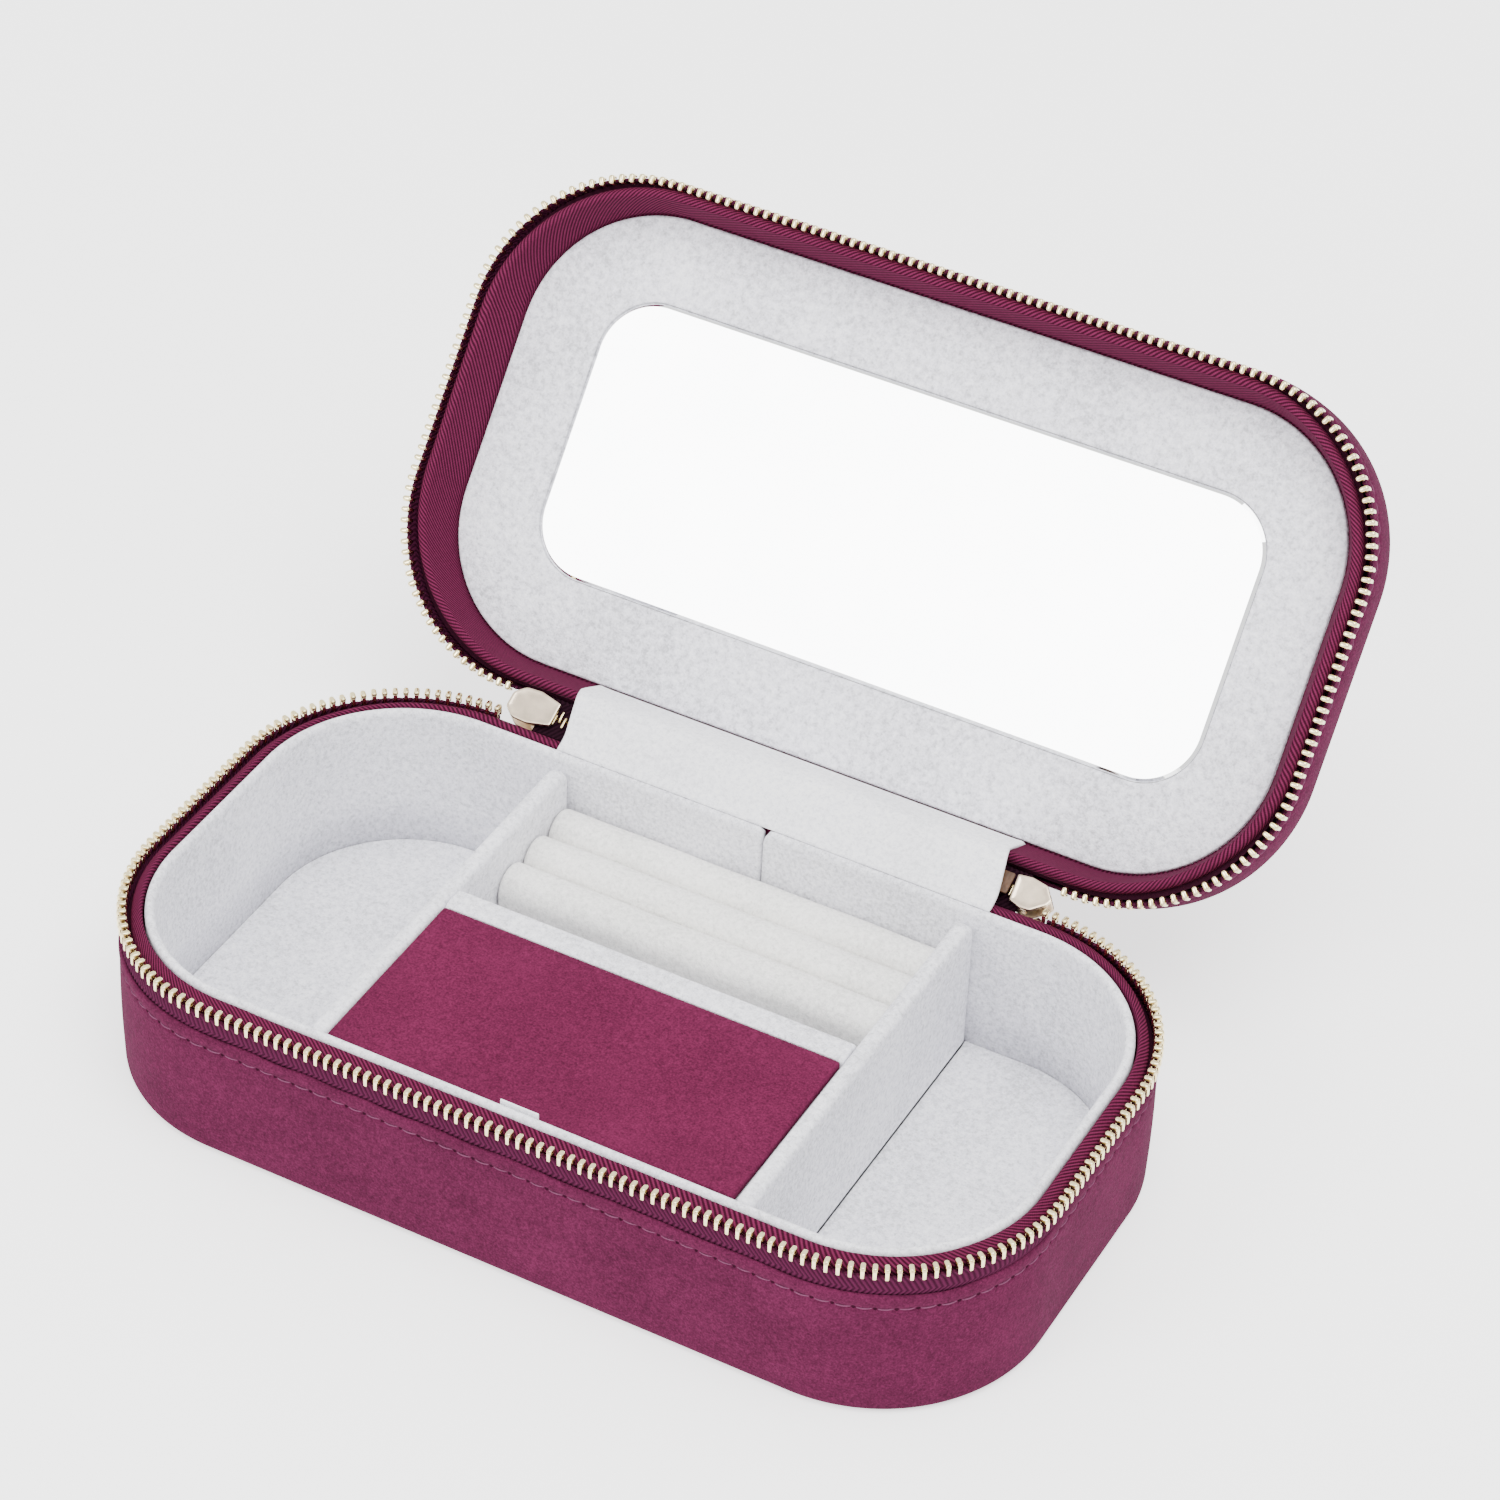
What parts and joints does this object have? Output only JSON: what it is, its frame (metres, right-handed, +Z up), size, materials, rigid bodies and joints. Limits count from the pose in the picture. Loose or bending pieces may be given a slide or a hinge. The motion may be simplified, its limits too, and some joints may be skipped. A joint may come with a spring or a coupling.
{
  "type": "travel jewelry case",
  "caption": "Rounded zip-round travel jewelry case, open, with ring rolls, a flap-covered compartment, end compartments and a mirror in the hinged lid.",
  "frame": {"origin": "centre of the base's underside, on the surface it stands on", "axes": "+X along the case's length to the right seen from the front, +Y towards the lid's hinge at the back, +Z up"},
  "size_m": [0.1826, 0.1786, 0.1113],
  "materials": {
    "suede": "burgundy microsuede, short nap",
    "twill": "burgundy fine twill",
    "zipper_tape": "burgundy woven zipper tape",
    "velvet": "white short-pile velvet",
    "board": "pressed fibreboard",
    "card": "greyboard",
    "velvet_board": "board wrapped in white short-pile velvet",
    "padding": "soft foam",
    "roll": "velvet over foam",
    "mirror": "silvered glass",
    "gold_teeth": "pale gold, polished",
    "gold_slider": "pale gold, die cast",
    "brown_leather": "brown, smooth"
  },
  "bodies": {
    "base": {"base_bottom_cover": "suede", "base_side_cover": "suede", "base_floor_board": "board", "base_wall_board": "board", "base_zipper_tape": "zipper_tape", "base_zipper_teeth": "gold_teeth", "base_collar": "twill", "base_liner": "velvet_board", "left_floor_pad": "velvet", "right_floor_pad": "velvet", "flap_box_floor_pad": "velvet", "ring_floor_pad": "velvet", "divider_left": "velvet_board", "divider_right": "velvet_board", "divider_cross": "velvet_board", "ring_roll_1": "roll", "ring_roll_2": "roll", "ring_roll_3": "roll", "flap_hinge": "velvet", "hinge_strip": "velvet", "hinge_spine": "suede"},
    "flap": {"flap_cover": "suede", "flap_board": "board", "flap_lining": "velvet", "flap_tab": "velvet"},
    "lid": {"lid_side_cover": "suede", "lid_top_cover": "suede", "lid_top_board": "card", "lid_wall_board": "board", "lid_zipper_tape": "zipper_tape", "lid_zipper_teeth": "gold_teeth", "lid_collar": "twill", "lid_panel": "velvet", "mirror": "mirror", "mirror_backing": "card", "lid_padding": "padding"},
    "zip_bridge": {"back_zipper_tape": "zipper_tape", "back_zipper_teeth": "gold_teeth", "zipper_end_patch": "brown_leather"},
    "slider_left": {"slider_left": "gold_slider"},
    "slider_right": {"slider_right": "gold_slider"},
    "puller_link_left": {"puller_link_left": "gold_slider"},
    "puller_link_right": {"puller_link_right": "gold_slider"},
    "puller_left": {"puller_left": "gold_slider"},
    "puller_right": {"puller_right": "gold_slider"}
  },
  "joints": [
    {"name": "lid_hinge", "type": "hinge", "parent": "base", "child": "lid", "pos_m": [0, 0.0521, 0.032], "axis": [1, 0, 0], "range_deg": [0, 129], "deforming": ["hinge_strip", "hinge_spine"]},
    {"name": "zip_bridge_hinge", "type": "hinge", "parent": "base", "child": "zip_bridge", "pos_m": [0, 0.0521, 0.032], "axis": [1, 0, 0], "range_deg": [0, 64.5]},
    {"name": "slider_left_slide", "type": "slide", "parent": "zip_bridge", "child": "slider_left", "axis": [-1, 0, 0], "range_m": [0, 0.006], "deforming": ["base_zipper_tape", "base_zipper_teeth", "lid_zipper_tape", "lid_zipper_teeth"]},
    {"name": "slider_right_slide", "type": "slide", "parent": "zip_bridge", "child": "slider_right", "axis": [1, 0, 0], "range_m": [0, 0.006], "deforming": ["base_zipper_tape", "base_zipper_teeth", "lid_zipper_tape", "lid_zipper_teeth"]},
    {"name": "puller_link_left_hinge", "type": "hinge", "parent": "slider_left", "child": "puller_link_left", "pos_m": [-0.05035, 0.05378, 0.02848], "axis": [1, 0, 0], "range_deg": [-64.5, 0]},
    {"name": "puller_link_right_hinge", "type": "hinge", "parent": "slider_right", "child": "puller_link_right", "pos_m": [0.05145, 0.05378, 0.02848], "axis": [1, 0, 0], "range_deg": [-64.5, 0]},
    {"name": "puller_left_hinge", "type": "hinge", "parent": "puller_link_left", "child": "puller_left", "pos_m": [-0.05035, 0.05378, 0.02458], "axis": [0, 1, 0], "range_deg": [-50, 50]},
    {"name": "puller_right_hinge", "type": "hinge", "parent": "puller_link_right", "child": "puller_right", "pos_m": [0.05145, 0.05378, 0.02458], "axis": [0, 1, 0], "range_deg": [-50, 50]},
    {"name": "flap_swing", "type": "hinge", "parent": "base", "child": "flap", "pos_m": [0, -0.0025, 0.0311], "axis": [1, 0, 0], "range_deg": [-105, 0], "deforming": ["flap_hinge"]}
  ],
  "couplings": [
    {"joint": "zip_bridge_hinge", "follows": "lid_hinge", "ratio": 0.5},
    {"joint": "puller_link_left_hinge", "follows": "lid_hinge", "ratio": -0.5},
    {"joint": "puller_link_right_hinge", "follows": "lid_hinge", "ratio": -0.5}
  ]
}
